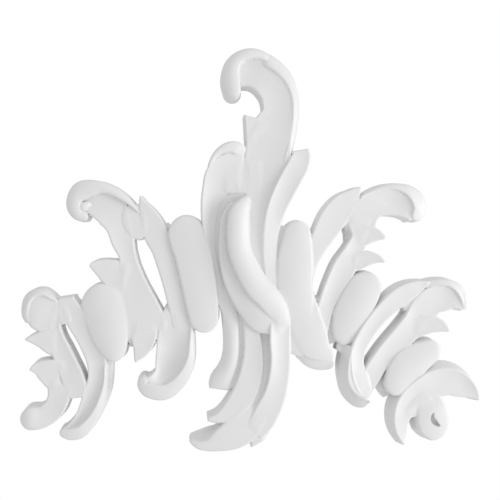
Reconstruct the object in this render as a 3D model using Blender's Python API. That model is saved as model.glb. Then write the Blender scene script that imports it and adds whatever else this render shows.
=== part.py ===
"""Rocaille centre onlay: one casting of leaves, curls and a central roll, with a flat back to fix to a panel."""
import math

import bmesh
import bpy
import numpy as np
from mathutils import Vector

for old in list(bpy.data.objects):
    bpy.data.objects.remove(old, do_unlink=True)

# Driving dimensions, metres
ONLAY_WIDTH = 0.420
ONLAY_HEIGHT = 0.366
ONLAY_DEPTH = 0.040
EYE_DIAMETER = 0.006

# Mould draft of the side walls, degrees: the usual one and the one of the broad outer flanks
DRAFT = 2.5
BROAD_DRAFT = 9.0

# The carving is drawn on a sheet of squares, x to the right and y down, and shared out over the sizes above.
# Heights are squares off the back. A section is cut about every SECTION_STEP squares along a leaf.
SECTION_STEP = 16.5
FEWEST_SECTIONS = 4
NARROW_LEAF = 12.0
CROWDING = 0.75
BACK_SPARE = 4.0
TIGHTEST_BEND = 0.85
THINNEST = 0.5
SINK_REACH = 14.0
SINK_DEPTH = 9.0
EYE_CENTRE = (436.0, 419.5)
EYE_FLOOR = 19.0

WHITE_CASTING = (0.90, 0.90, 0.89, 1.0)
CASTING_ROUGHNESS = 0.45

leaves = []


def leaf(name, stations, ends="cut cut", draft=DRAFT):
    """Draw one leaf from root to tip.

    A station is (x, y, width, left, middle, right): its place on the sheet, the leaf's width there, and the
    heights of its left edge, its middle and its right edge. An end is round, cut as wide as it comes, or
    sunk under the leaf it grows from.
    """
    root, tip = ends.split()
    leaves.append({"name": name, "stations": np.array(stations, float), "root": root, "tip": tip,
                   "draft": math.tan(math.radians(draft))})


def draw_crest():
    leaf("crest_stem", [(262, 290, 14, 23, 23, 23), (257, 255, 18, 22, 22.5, 23),
                        (256, 225, 20, 21, 21.5, 23), (258, 203, 26, 21, 21.5, 23.5),
                        (262, 186, 36, 21.5, 21.5, 24), (266.5, 170, 46, 22, 22, 25),
                        (268.7, 152, 46, 22, 22, 25), (270, 138, 45, 22.5, 22.5, 25),
                        (274, 126, 39, 23, 22.5, 25), (279, 114, 33, 23, 22.5, 25),
                        (279.3, 103, 33.5, 23, 22.5, 25), (276, 91.5, 33, 23, 22.5, 25),
                        (269.5, 82.5, 32.5, 23, 22.5, 24.5), (260.5, 75.5, 31, 22.5, 22, 24),
                        (251, 72.7, 29.5, 22, 21, 23), (238, 74, 26, 21, 20, 22)], "sunk cut")
    leaf("crest_lip", [(284, 168, 3, 24, 24, 22), (289, 154, 6.5, 25, 24, 21.5),
                       (292.8, 140, 7, 25, 24, 21), (295.2, 126, 7.5, 25, 24, 20),
                       (296.2, 113, 8, 25, 24, 20), (295.9, 101, 8.5, 25, 24, 20),
                       (293.3, 90, 9.5, 25, 24, 20), (288.3, 79, 11.5, 25, 24, 20),
                       (280.5, 70, 13, 25, 24.5, 20), (271, 63, 13.5, 25, 25, 21),
                       (258, 57, 13, 24, 24, 22)], "round sunk")
    leaf("crest_curl", [(277, 65, 8, 24.5, 24, 21), (268, 59.3, 9, 25, 25, 21.5),
                        (259, 55.4, 10, 26, 26, 23), (250, 55, 11, 27, 27, 24),
                        (241.5, 57.7, 12.5, 27, 27.5, 24), (234.5, 63.7, 15, 27, 28, 24),
                        (230.8, 72, 17.5, 27, 28, 24), (230.6, 81, 18.5, 27, 28, 24),
                        (232, 89, 17.5, 27, 28, 24), (234.5, 99.5, 15, 26, 27, 24)], "sunk round")
    leaf("crest_spur", [(266.4, 141.5, 44, 22, 22, 22), (257.4, 130.8, 30, 22.5, 22.5, 22.5),
                        (250.9, 123.2, 15, 23, 23, 23), (247.1, 118.6, 6, 23.5, 23.5, 23.5),
                        (244.5, 115.5, 0.5, 24, 24, 24)], "sunk cut")


def draw_shoulder():
    leaf("shoulder", [(228.5, 305, 7, 20, 20, 20), (221, 290, 9, 22, 21, 20),
                      (215.5, 270, 9.5, 24, 22, 20.5), (212, 250, 8.5, 25.5, 22.5, 20.5),
                      (209.5, 230, 13, 26, 22.5, 20.5), (210.5, 206, 19, 26.5, 22.5, 21),
                      (215, 190, 26, 26.5, 22.5, 21.5), (221.5, 179.5, 37, 26.5, 22.5, 22),
                      (230, 174, 41, 25, 22.5, 22), (243, 173.5, 40, 22, 22, 22)], "cut cut")
    leaf("shoulder_bridge", [(213, 176.5, 30, 22, 22, 22), (228, 176.5, 35, 22, 22, 22),
                             (244, 176, 36, 21.8, 21.8, 21.8), (258, 175.5, 36, 21.7, 21.7, 21.7),
                             (272, 175, 30, 21.7, 21.7, 21.7)], "sunk sunk")
    leaf("shoulder_curl", [(208.5, 170, 2, 26, 26, 26), (212.5, 160, 5, 27, 27.5, 26),
                           (220.5, 151.5, 8, 27, 28, 26), (230.5, 148, 11.5, 26, 27.5, 26),
                           (238, 149.5, 13, 25, 26, 25), (244, 155, 10, 22, 22, 22)], "round round")
    leaf("groove_floor", [(256, 203, 16, 20.5, 20.5, 20.5), (243, 203, 22, 20.5, 20, 20.5),
                          (232, 208, 28, 20.5, 20, 20.5), (224, 220, 25, 20.5, 19.5, 20.5),
                          (221, 240, 19, 20.5, 19.5, 20.5), (222, 262, 16, 20.5, 19.5, 20.5),
                          (229, 285, 18, 20.5, 19.5, 20.5), (243, 308, 22, 20.5, 20, 20.5),
                          (262, 326, 20, 20.5, 20, 20.5)])


def draw_centre():
    leaf("centre_web", [(296, 350, 30, 22, 22, 22), (288, 315, 50, 23, 23, 23),
                        (284, 285, 44, 23, 23, 23), (281, 262, 38, 22, 22, 22),
                        (281, 243, 26, 20.5, 20.5, 20.5), (284, 226, 10, 19.5, 19.5, 19.5)])
    leaf("roll_strand", [(234, 203, 5, 26, 26, 26), (227.2, 215, 9, 26, 27, 28.5),
                         (225, 235, 11, 26, 27.5, 29.5), (225.5, 255, 12, 27, 28, 30),
                         (230, 275, 15, 29.5, 29.5, 30), (239, 293, 19, 32, 31, 29.5),
                         (250, 307, 24, 33.5, 32, 28.5), (262, 317, 29, 33, 31.5, 28),
                         (276, 321, 25, 32, 30.5, 27.5), (292, 322, 14, 28, 28, 27)], "round sunk")
    leaf("centre_roll", [(283, 333, 15, 26, 28, 26), (280.5, 318, 19, 30, 31.5, 28.5),
                         (276, 307, 22.5, 33.5, 34, 30.5), (268.5, 297, 24.5, 35.5, 36, 31.5),
                         (257.5, 285.5, 25, 36.5, 37.5, 32.5), (247, 268, 24, 36.5, 38, 32.5),
                         (240, 250, 23, 36.5, 38, 32.5), (238.3, 230, 22.5, 35.5, 37.5, 32),
                         (240, 213, 20, 34.5, 36, 31.5), (245, 203, 13, 32, 33, 30),
                         (248.5, 197, 6, 29, 30, 28)], "sunk round")
    leaf("prong", [(278, 302, 14, 23, 23, 22.5), (273, 278, 15, 24, 23.5, 22.5),
                   (270.5, 252, 15.5, 25.5, 24, 22.3), (272, 229, 17, 26.5, 24.3, 22.3),
                   (277, 209, 19.5, 27.3, 24.5, 24.3), (284.5, 192, 21.5, 27.3, 24.5, 25.3),
                   (293, 176, 22, 27, 25, 25.8), (299, 165, 21.5, 26.5, 25, 25.5),
                   (301.5, 157, 19.5, 26, 24.5, 25), (301, 150.5, 16.5, 25, 24.5, 25)], "sunk cut")
    leaf("left_lobe", [(206, 332, 26, 24, 25, 24), (203, 312, 31, 24.5, 26, 24.5),
                       (199, 285, 35, 24.5, 26, 24.5), (193, 255, 37, 24.5, 26, 24.5),
                       (186, 232, 37, 24, 25.5, 24), (182.5, 215.5, 29, 23.5, 25, 23.5)], "round round")
    leaf("right_lobe", [(306, 355, 26, 23, 24, 23), (300, 335, 34, 23.5, 25, 23.5),
                        (297.5, 310, 36, 24, 26, 24), (295.5, 285, 36, 24, 26.5, 24),
                        (296, 258, 35, 24, 26, 24), (298, 238, 29, 24, 26, 24),
                        (299.5, 220.5, 21, 23.5, 25, 23.5)], "round round")


def draw_left_wing():
    leaf("wing_floor", [(163, 224, 8, 18, 18, 18), (172, 245, 16, 19, 19, 19), (180, 275, 18, 20, 20, 20),
                        (188, 310, 18, 20, 20, 20), (192, 326, 8, 19, 19, 19)], "sunk sunk")
    leaf("left_blade", [(150, 342, 44, 21.5, 21.5, 21.5), (145, 325, 43, 21.5, 21.5, 21.5),
                        (139, 308, 38, 21.5, 21.5, 21.5), (133, 290, 31, 21.5, 21, 21.5),
                        (129, 272, 23, 21.5, 21, 21.3), (126.5, 256, 17.5, 22.5, 21, 21.3),
                        (122, 242, 23, 23, 21, 21.2), (118.7, 225.2, 29, 23.5, 21, 21.2),
                        (109.8, 211.3, 34, 23.5, 21, 21.2), (98, 205.5, 28, 23, 21, 21),
                        (88, 203, 22, 22, 20.5, 21), (78, 203, 18, 20, 19, 20)], "sunk cut")
    leaf("left_rib", [(184, 336, 20, 21, 21, 20), (180.5, 318, 20, 21.5, 21, 20),
                      (176.5, 300, 20.5, 21.5, 21, 20), (171.5, 280, 21, 21.5, 21, 20),
                      (166, 262, 21.5, 21.5, 21, 20), (161.5, 248, 22.5, 21.3, 21.2, 20.5),
                      (156, 236, 25, 21.2, 21.2, 21.2), (150.5, 224, 23.5, 21.2, 21.2, 22),
                      (146, 213, 17, 21.5, 22, 22.5), (142, 204, 8, 22.5, 22.5, 23),
                      (139.5, 196.5, 1.5, 23, 23, 23)], "sunk cut")
    leaf("left_web", [(139, 239.5, 14, 21.1, 21.1, 21.1), (137, 231, 22, 21.2, 21.2, 21.2),
                      (134.5, 220, 28, 21.2, 21.2, 21.2), (132, 205, 18, 21.2, 21.2, 21.2)], "round cut")
    leaf("left_curl", [(138, 212.5, 1, 23.5, 23, 23), (130.5, 204, 5, 24.5, 24, 23),
                       (121, 196.5, 8, 25, 25, 23), (110.5, 190.5, 9.5, 25.5, 25.5, 23),
                       (100, 187.6, 12, 25.5, 26, 23.5), (90, 188.2, 16.5, 25.5, 26.5, 23.5),
                       (79.5, 191.5, 19, 25.5, 26.5, 23.5), (73.5, 199, 16, 25.5, 26.5, 23.5),
                       (73, 208, 14.5, 25.5, 26.5, 23.5), (77, 214.5, 12, 25, 26, 23.5),
                       (87, 216.5, 7, 24, 24.5, 23.5)], "cut round")
    leaf("left_curl_eye", [(89, 203, 4, 23, 23, 23), (84, 206, 8, 24.5, 25.5, 24.5),
                           (79, 209, 9, 24.5, 26, 25)], "round round")
    leaf("left_leaflet", [(135, 281, 30, 21, 21, 21), (125, 278, 32, 21.5, 21.5, 21.5),
                          (115, 274.5, 30, 21.5, 21.5, 21.5), (107, 271, 25.5, 22, 22, 22.5),
                          (100, 267.7, 18.5, 22.5, 22.5, 23), (94, 266, 12, 23, 23, 23.5),
                          (90, 265.8, 5.5, 23.5, 23.5, 24), (88.5, 266, 1, 24, 24, 24)], "sunk cut")
    leaf("left_big_lobe", [(112, 361.5, 16, 22, 23, 22), (112, 350, 27, 22, 24.5, 21.4),
                           (109, 335, 38, 21.5, 24.8, 21.4), (105, 318, 43, 21, 24.8, 21.4),
                           (100.5, 302, 43, 21, 24.3, 21.5), (95, 284, 36, 21.5, 24, 22)], "round round")
    leaf("left_toe", [(146, 312, 20, 21, 21, 21), (143.5, 328, 27, 21.5, 21.5, 21.5),
                      (141.5, 345, 21, 22, 21.5, 22), (139, 352, 14, 22, 22, 22),
                      (136, 358, 6.5, 22, 22, 22), (134.5, 362, 1, 22, 22, 22)], "sunk cut")
    leaf("left_tendril", [(179, 303, 22, 21, 21, 21), (175.5, 320, 32, 21, 21, 21.5),
                          (173.5, 337, 34, 22, 19.5, 21.5), (172, 352, 33, 23, 18, 22),
                          (167.5, 366, 29, 23, 17.5, 21), (159, 376, 17, 23, 20, 21.5),
                          (150, 378.5, 8, 24, 23.5, 24), (144, 378, 3, 24, 24, 24)], "sunk cut")
    leaf("left_tendril_lip", [(191.5, 322, 3, 22, 22.5, 23), (191.5, 342, 5.5, 21, 22.5, 24),
                              (190.5, 358, 8, 21, 23, 24.5), (185, 373, 11.5, 21, 23.5, 25),
                              (175.5, 384.5, 14, 21.5, 24, 25), (165, 391, 16, 22, 24.5, 25),
                              (154, 391, 16, 22.5, 25, 25.5), (146, 387.5, 15, 23, 25, 25.5),
                              (142.5, 381.5, 12, 23, 25, 25), (145.5, 375.5, 6, 23.5, 24, 24)],
         "cut round")


def draw_left_spray():
    leaf("left_end_rib", [(64, 297, 16, 21, 21, 21), (65, 302, 18, 21, 21, 21),
                          (69, 310, 21, 21, 20.5, 20.5), (75, 320.5, 21.5, 21.5, 20, 20.5),
                          (83.5, 334, 21.5, 22, 20, 20.5), (90.3, 347, 21.5, 22, 20, 21),
                          (95, 361, 20, 22, 20, 21.5), (96, 377, 19, 21.5, 19.5, 21.5),
                          (92.5, 394, 22, 21, 19, 21), (86.5, 409, 19.5, 22, 18.5, 21),
                          (78, 420.5, 14, 22.5, 18.5, 21), (67, 428.5, 8, 22, 20.5, 21),
                          (60, 430.5, 3, 22, 22, 22)])
    leaf("left_end_rib_lip", [(104, 366, 2, 21, 22, 23), (104, 382, 3.5, 20, 22, 23.5),
                              (101, 397, 6, 20, 22, 24), (95.7, 411, 8.5, 20, 22.5, 24),
                              (88, 422.8, 10.5, 20.5, 22.5, 24.5), (79, 431.2, 13, 21, 23, 24.5),
                              (68.5, 433.5, 12, 21.5, 23, 24), (58, 430.5, 7, 22, 22.5, 23)],
         "cut round")
    leaf("left_end_behind", [(104, 351, 13, 14, 14, 14), (104.5, 372, 12, 12, 12, 12),
                             (103.5, 391, 10, 10, 10, 10), (100, 409, 4, 8, 8, 8)])
    leaf("left_end_web", [(59, 302, 11, 20.8, 20.8, 20.8), (62, 313, 14, 20.8, 20.8, 20.8),
                          (64.5, 323.5, 11, 20.8, 20.8, 20.8)])
    leaf("left_end_blade", [(57, 300, 10, 21, 21, 21), (53, 313, 15, 21, 20.5, 21),
                            (51, 327, 16, 21, 20, 21), (53.5, 340, 19, 21, 20, 21),
                            (59.5, 352, 20, 21, 20, 21), (65, 364, 21, 21, 20, 21),
                            (70, 376, 23, 21, 20.5, 20.5), (74, 388, 22, 21, 20.5, 20.5),
                            (75.5, 397.5, 15, 21, 20.5, 21)])
    leaf("left_end_lobe", [(57, 319.5, 32, 20, 20, 20), (49, 316.5, 36, 21, 21.1, 21),
                           (37, 311.5, 36, 22, 23, 22), (23, 308, 27, 22, 23.5, 22)], "cut round")
    leaf("left_end_lobe_lip", [(55.5, 301.5, 2, 22, 22, 22), (49, 296.5, 4.5, 24, 23.5, 21.5),
                               (41, 292.2, 6.5, 24.5, 24, 21), (33, 292.7, 8, 25, 24, 20.5),
                               (26.3, 298.3, 9, 25, 24, 20.5), (23.4, 307, 8.5, 24.5, 23.5, 20.5),
                               (23.5, 315.5, 7.5, 23.5, 23, 21), (27, 322.5, 5, 22.5, 22.5, 21.5)],
         "cut round")
    leaf("left_end_tooth", [(57, 342, 30, 19.6, 19.6, 19.6), (47.5, 340.4, 26, 21, 21, 21),
                            (38, 339, 16.5, 21.5, 21.5, 22), (31, 338.7, 9.5, 22, 22, 22.5),
                            (23.5, 339, 1.5, 23, 23, 23)])
    leaf("left_end_leaflet", [(68, 380, 30, 20, 20, 20), (53, 374.5, 31, 20.5, 20.5, 21),
                              (42, 369.8, 22, 21.5, 21.5, 22.5), (35, 368, 13.5, 22, 22, 23),
                              (28, 369.3, 1.5, 23, 23, 23.5)], "sunk cut")
    leaf("left_end_tendril", [(64, 374, 24, 20, 20, 20), (58, 388, 25, 20.5, 20.5, 20.5),
                              (56.5, 397, 22, 21, 20.5, 21), (53, 406, 21.5, 21.5, 20.5, 21),
                              (47, 412.5, 21.5, 21.5, 21, 21), (39, 416.8, 22, 22, 22, 21),
                              (29, 418, 23, 22, 24, 21.5), (17.8, 418, 19, 21, 22.5, 21)], "sunk round")


def draw_bottom():
    leaf("bottom_tendril", [(218.5, 278, 12, 20, 20, 20), (223, 296, 16, 20.5, 21, 20.5),
                            (229.5, 311, 16.5, 21, 22.5, 20), (231.5, 325, 17, 21, 23.5, 20),
                            (232.3, 340, 16.5, 21, 24, 20), (232, 352, 16.5, 21, 24, 20),
                            (229.5, 365, 17, 20.5, 23.5, 20), (225, 375, 18.5, 20, 22.5, 20),
                            (221.3, 382, 21.5, 20, 22, 19.5), (220, 389, 22, 20, 21, 19.5)], "sunk cut")
    leaf("tendril_valley", [(243, 315, 10, 20.5, 20.5, 20.5), (243.5, 340, 10, 20.5, 20.5, 20.5),
                            (242, 357, 11, 20, 20, 20), (238.5, 374, 12, 19.5, 19.5, 19.5),
                            (233.5, 390, 10, 19.5, 19.5, 19.5)])
    leaf("bottom_blade", [(250, 316, 14, 25, 25, 25), (252.3, 335, 17, 25, 25, 25),
                          (253.5, 350, 19, 25, 24.5, 25), (252.7, 365, 22, 24.5, 24, 24.5),
                          (249.5, 380, 24, 24, 24, 24), (244, 393, 24, 24, 24, 24),
                          (236.5, 404, 22, 24, 24, 24), (227, 412.5, 17, 24, 24, 24),
                          (217, 417, 10, 24, 24, 24), (207.5, 418, 4, 24, 24, 24)])
    leaf("bottom_hook", [(262, 402, 30, 23, 23, 23), (247, 422, 34, 24, 24, 24),
                         (234.3, 432.3, 31, 24, 24.5, 24), (221, 439, 23, 23.5, 24.5, 24),
                         (208, 444, 12.5, 23, 24, 24), (197, 443.5, 7.5, 23, 23.5, 23.5),
                         (189.5, 440, 2, 22, 22.5, 23)], "sunk cut")
    leaf("bottom_hook_side", [(218, 430.5, 3.5, 23, 18, 12), (211, 433.5, 6.5, 23, 17, 11),
                              (201, 437, 6.5, 22.5, 17, 11), (190.5, 440, 4, 22, 18, 14)])
    leaf("bottom_thorn", [(259, 424, 26, 23, 23, 23), (257.3, 434, 19, 23.6, 23.6, 23.6),
                          (253.5, 442.5, 6, 23.3, 23.3, 23.3), (251.5, 446, 1, 23, 23, 23)], "sunk cut")
    leaf("bottom_rib", [(282, 308, 16, 26, 27, 29), (280.8, 322, 21, 26, 27.2, 31.5),
                        (280.3, 338, 21, 25.8, 26.8, 31), (280.8, 358, 20, 25.5, 26.2, 30),
                        (279.3, 376, 20.5, 25, 25.6, 28.7), (275.7, 392, 22, 24.5, 24.9, 27.2),
                        (269.5, 407, 24.5, 24, 24.4, 25.8), (261.5, 421, 24.5, 24, 24, 24.5),
                        (253.5, 432, 20, 24, 24, 24)], "sunk cut")
    leaf("bottom_groove_floor", [(266, 325, 22, 20.5, 20, 20.5), (268, 350, 19, 21.5, 21, 21.5),
                                 (267, 372, 18, 22, 21.5, 22), (262, 390, 18, 22.5, 22, 22.5),
                                 (254, 405, 15, 23, 22.5, 23), (248, 414, 9, 23, 23, 23)])


def draw_right_wing():
    leaf("right_floor", [(315, 231, 5, 18, 18, 18), (312, 242, 11, 19, 19, 19),
                         (309, 262, 10, 20, 20, 20), (308, 285, 9, 20, 20, 20), (307, 303, 8, 20, 20, 20)],
         "sunk cut")
    leaf("right_web", [(318, 298, 12, 20, 20, 20), (325.5, 314, 19, 20, 20, 20),
                       (330.5, 329, 20, 18, 18, 18), (335, 343.5, 14, 16, 16, 16)], "cut cut")
    leaf("right_rib", [(305, 305, 10, 22, 22.5, 22), (307.5, 282, 12, 22, 22.5, 22),
                       (311, 265, 14, 22.5, 22.5, 22), (316.5, 250, 18, 23, 22.5, 22),
                       (325, 234, 23, 24, 22.5, 22), (335.5, 217, 27, 24, 22.5, 22),
                       (345.5, 204.5, 24, 24, 22.5, 22), (353.5, 197, 17, 24, 23, 22),
                       (359, 190.7, 8, 24, 23.5, 23), (362, 187.5, 1.5, 24, 24, 24)])
    leaf("right_foot", [(301, 285, 24, 22, 22, 22), (303, 312, 34, 24, 25, 24),
                        (309.5, 334, 37, 24, 26, 24), (319, 347, 29, 23.5, 25, 24),
                        (327, 353, 17, 23, 24, 23.5), (334, 356.5, 7, 23, 23, 23)], "sunk round")
    leaf("right_foot_lip", [(290.5, 341, 3, 23.5, 22, 20), (300, 354, 7, 23.5, 21.5, 19),
                            (311, 361.8, 11, 23, 21.5, 19), (322, 364.3, 11.5, 23, 21.5, 19),
                            (335, 362.5, 10, 23, 22, 20)], "cut round")
    leaf("right_blade", [(322, 346, 12, 21, 21, 21), (323.5, 320, 16, 22.5, 21.5, 21.5),
                         (329.5, 300, 18, 23.5, 21, 21.5), (337.5, 282, 21, 24, 21, 21.5),
                         (346.5, 266, 24, 24, 21.5, 21.5), (355.5, 250.5, 20, 24, 21.5, 21.5),
                         (361.5, 237, 18, 22, 21.5, 21.5), (362, 220, 26, 21.5, 21.5, 21.5),
                         (368, 207, 20, 21.5, 21.5, 21.5)], "cut sunk")
    leaf("right_tip", [(359, 236, 22, 21.5, 21.5, 21.5), (362, 222, 32, 22, 21.5, 22),
                       (369, 210, 29, 22.5, 21.5, 22), (380, 203, 27, 23.5, 21, 22),
                       (393, 202.3, 26, 23.5, 20.5, 22), (404, 206.5, 22.5, 23, 21, 22),
                       (411.5, 213.5, 15, 23, 22, 22.5), (415, 219.5, 9, 22.5, 22.5, 22.5)], "sunk cut")
    leaf("right_curl", [(362, 197.5, 2, 24, 24, 24), (375, 190.2, 4, 22, 23.5, 24.5),
                        (388, 186.6, 5.5, 21, 23.5, 24.5), (400, 187.2, 7.5, 20.5, 23.5, 25),
                        (411, 191, 11.5, 20, 23.5, 25), (419, 198.5, 14.5, 20, 23, 25),
                        (421.7, 208.5, 14.5, 20, 23, 24.5), (415.5, 220.5, 10, 21, 22.5, 23.5)],
         "cut round")
    leaf("right_leaflet_upper", [(348, 237, 22, 21, 21, 21), (362, 236, 22, 21.5, 21.5, 21.5),
                                 (371, 234.8, 17.5, 22.5, 22, 22.5), (378, 235, 13, 23, 22.5, 22.5),
                                 (387, 238, 2.5, 23.5, 23.5, 23.5)], "sunk cut")
    leaf("right_leaflet_lower", [(345, 262, 22, 21, 21, 21), (361, 260, 18.5, 21.5, 21.5, 21.5),
                                 (370, 258.3, 14, 22.5, 22, 22.5), (378, 258.3, 9.5, 23, 22.5, 22.5),
                                 (386.5, 261.5, 1.5, 23.5, 23.5, 23.5)], "sunk cut")
    leaf("right_big_lobe", [(345, 345, 12, 22, 22.5, 22), (346, 335, 24, 22.5, 24, 22.5),
                            (348.5, 325, 31, 22.5, 25, 23), (352.5, 314, 35, 22.5, 25.5, 23.5),
                            (358, 303, 36, 22, 25.5, 23.5), (364, 292, 35, 21.5, 25, 23.5),
                            (369, 282.5, 31, 21.5, 24, 23), (373, 272.5, 26, 21, 23.5, 22.5)],
         "round round")


def draw_right_spray():
    leaf("spray_floor", [(343.5, 353, 13, 19, 19, 19), (351, 340, 20, 20, 20, 20),
                         (365, 317, 16, 20, 20, 20), (379, 298, 12, 19, 19, 19)], "cut sunk")
    leaf("right_end_rib", [(369, 395, 13, 22.5, 22.5, 22.5), (360, 380, 23, 27, 25, 22.5),
                           (356.7, 363, 17.5, 28, 24.5, 22.5), (359.7, 347.5, 15.5, 27, 24, 23),
                           (367.3, 333, 16, 26, 23.5, 23), (377.3, 319.5, 16.5, 25.5, 23, 23),
                           (389, 307, 18, 25, 23, 22.5), (401, 297, 20, 25, 23, 22),
                           (414, 289.5, 17, 25, 23, 22), (424, 284.7, 9, 24.5, 23, 22.5),
                           (431, 282, 2, 24, 24, 24)], "round cut")
    leaf("right_end_foot", [(350, 345, 8, 27, 25, 20), (346.5, 362, 12, 28, 22, 12),
                            (348, 380, 14, 28, 20, 9), (354.5, 395.5, 16, 26, 18, 9),
                            (363, 402.5, 15, 23, 17, 9), (372, 403.5, 10, 21, 16, 10)], "cut round")
    leaf("right_end_blade", [(362, 398, 13, 22, 22, 22), (373, 375, 19, 23, 21.5, 21.5),
                             (382.5, 360, 19.5, 24, 21, 21), (394.5, 346, 21.5, 24, 21, 21),
                             (406.5, 334, 24, 24, 21, 21), (418, 321, 26, 23.5, 21, 21),
                             (426, 309, 29, 22, 21, 21), (436.5, 299.5, 28, 22.5, 20.5, 21.5),
                             (449, 297, 28, 23, 20.5, 22), (459.5, 300.5, 21, 23, 21.5, 22),
                             (466, 309, 7, 23, 22.5, 22.5)])
    leaf("right_end_blade_lip", [(425, 285, 6, 21.5, 22, 22.5), (441, 281.8, 6.5, 21, 23, 24.5),
                                 (452, 283, 7.5, 20.5, 23, 24.5), (461, 288.5, 9, 20.5, 22.5, 24.5),
                                 (466, 298, 8, 20.5, 22.5, 24), (467, 309.5, 4, 21, 22, 23)])
    leaf("right_end_web", [(406, 310, 7, 20.8, 20.8, 20.8), (411, 304.5, 13, 21, 21, 21),
                           (418, 298, 15, 21, 21, 21), (425, 292, 10, 21, 21, 21)], "round cut")
    leaf("right_end_leaflet", [(408, 327, 26, 21, 21, 21), (420, 325, 25, 21, 21, 21),
                               (428, 324.3, 20, 22, 21.5, 21.5), (436, 324, 16.5, 22.5, 22, 22),
                               (443, 325.7, 12.5, 23, 22.5, 22.5), (451.5, 330.5, 2, 23.5, 23.5, 23.5)],
         "sunk cut")
    leaf("right_end_lobe", [(396, 395, 19, 23, 24, 23), (399.5, 381, 27, 22.5, 24.5, 23),
                            (406, 369.5, 32, 22, 24.5, 23), (415, 361, 33, 21, 24, 23),
                            (425, 354.7, 28, 21, 23.5, 22.5), (433.5, 350.5, 23, 21, 23, 22),
                            (443, 347, 18, 21.5, 22.5, 21.5)], "round round")
    leaf("right_end_floor", [(388, 364, 13, 13, 13, 13), (386, 380, 16, 12, 12, 12),
                             (392, 397, 10, 11, 11, 11)])


def draw_tail():
    leaf("tail_blade", [(405.5, 443.5, 2, 23, 23, 22), (403, 431, 12, 25, 23.5, 22.5),
                        (402.7, 419, 17, 25, 23.5, 22.5), (407, 407, 22, 25, 22.5, 22.5),
                        (415.5, 396.5, 25, 24.5, 22, 22.5), (427, 388, 27, 24.5, 22, 22.5),
                        (440, 382, 28.5, 24, 21.5, 22.5), (453, 381, 28, 24, 21.5, 22),
                        (465, 385.5, 23.5, 24, 21.5, 22.5), (475, 392, 13.5, 24, 22.5, 22.5),
                        (481.5, 399, 2, 23.5, 23.5, 23.5)], draft=BROAD_DRAFT)
    leaf("tail_web", [(398, 416, 12, 22.3, 22.3, 22.3), (413, 409, 16, 22.3, 22.3, 22.3),
                      (427, 402, 22, 22.3, 22.3, 22.3), (443, 393, 14, 22.3, 22.3, 22.3)], "sunk sunk")
    leaf("volute", [(424, 386, 20, 22, 22, 22), (430, 400, 27, 22.3, 22.5, 22.3),
                    (434, 411, 31.5, 22.5, 24.5, 23), (435, 420, 32.5, 23, 25, 23.5),
                    (434.5, 430, 27, 23, 24.5, 23.5), (433.5, 439.5, 17, 22.5, 23.5, 22.5)],
         "sunk round", BROAD_DRAFT)


def smooth_through(stations, count):
    """Stations read off a Catmull-Rom curve through the drawn ones, closer together towards both ends."""
    knots = np.concatenate([[0.0], np.cumsum(np.linalg.norm(np.diff(stations[:, :2], axis=0), axis=1))])
    gaps = np.diff(knots)[:, None]
    slopes = np.diff(stations, axis=0) / gaps
    turns = np.empty_like(stations)
    turns[1:-1] = (slopes[:-1] * gaps[1:] + slopes[1:] * gaps[:-1]) / (gaps[:-1] + gaps[1:])
    turns[0] = 1.5 * slopes[0] - 0.5 * turns[1]
    turns[-1] = 1.5 * slopes[-1] - 0.5 * turns[-2]
    share = np.linspace(0.0, 1.0, count)
    share = share - CROWDING * np.sin(2.0 * math.pi * share) / (2.0 * math.pi)
    along = share * knots[-1]
    i = np.clip(np.searchsorted(knots, along, side="right") - 1, 0, len(knots) - 2)
    step = gaps[i]
    x = ((along - knots[i]) / gaps[i, 0])[:, None]
    return ((2 * x**3 - 3 * x**2 + 1) * stations[i] + (x**3 - 2 * x**2 + x) * step * turns[i]
            + (3 * x**2 - 2 * x**3) * stations[i + 1] + (x**3 - x**2) * step * turns[i + 1])


def rounding(reach, radius):
    """How much of a round end's width is there, at a reach from its very tip: a quarter circle, then all of it."""
    return np.sqrt(np.clip(1.0 - (1.0 - np.clip(reach / radius, 0.0, 1.0)) ** 2, 0.0, 1.0))


def sunk(reach):
    """How far a root dives under the leaf it grows from, at a reach from its end: a parabola."""
    return SINK_DEPTH * np.clip(1.0 - reach / SINK_REACH, 0.0, 1.0) ** 2


def edges_of(one):
    """The left and right edge of a leaf and its rows of heights.

    Each edge stands half the width off the spine. It keeps inside the spine's own bend, so it never folds back.
    A round end narrows and its dome falls to the height of its edges; a sunk end only dives.
    """
    span = np.linalg.norm(np.diff(one["stations"][:, :2], axis=0), axis=1).sum()
    cut = smooth_through(one["stations"], max(FEWEST_SECTIONS, round(span / SECTION_STEP) + 3))
    spine = cut[:, :2]
    steps = np.linalg.norm(np.diff(spine, axis=0), axis=1)
    run = np.concatenate([[0.0], np.cumsum(steps)])
    way = np.gradient(spine, run, axis=0)
    way /= np.linalg.norm(way, axis=1)[:, None]
    heading = np.unwrap(np.arctan2(way[:, 1], way[:, 0]))
    bend = np.gradient(heading, run)
    half = np.maximum(cut[:, 2], THINNEST) / 2.0
    rows = cut[:, 3:6].copy()
    for end, reach, first in ((one["root"], run, 0), (one["tip"], run[-1] - run, -1)):
        if end == "round":
            share = rounding(reach, half[first])
            rows[:, 1] += (share - 1.0) * (rows[:, 1] - (rows[:, 0] + rows[:, 2]) / 2.0)
            half = half * share
        if end == "sunk":
            rows -= sunk(reach)[:, None]
    half = np.maximum(half, THINNEST / 2.0)
    left = np.minimum(half, TIGHTEST_BEND / np.maximum(-bend, 1e-6))
    right = np.minimum(half, TIGHTEST_BEND / np.maximum(bend, 1e-6))
    across = np.stack([way[:, 1], -way[:, 0]], axis=1)
    return spine + across * left[:, None], spine - across * right[:, None], rows


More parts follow.
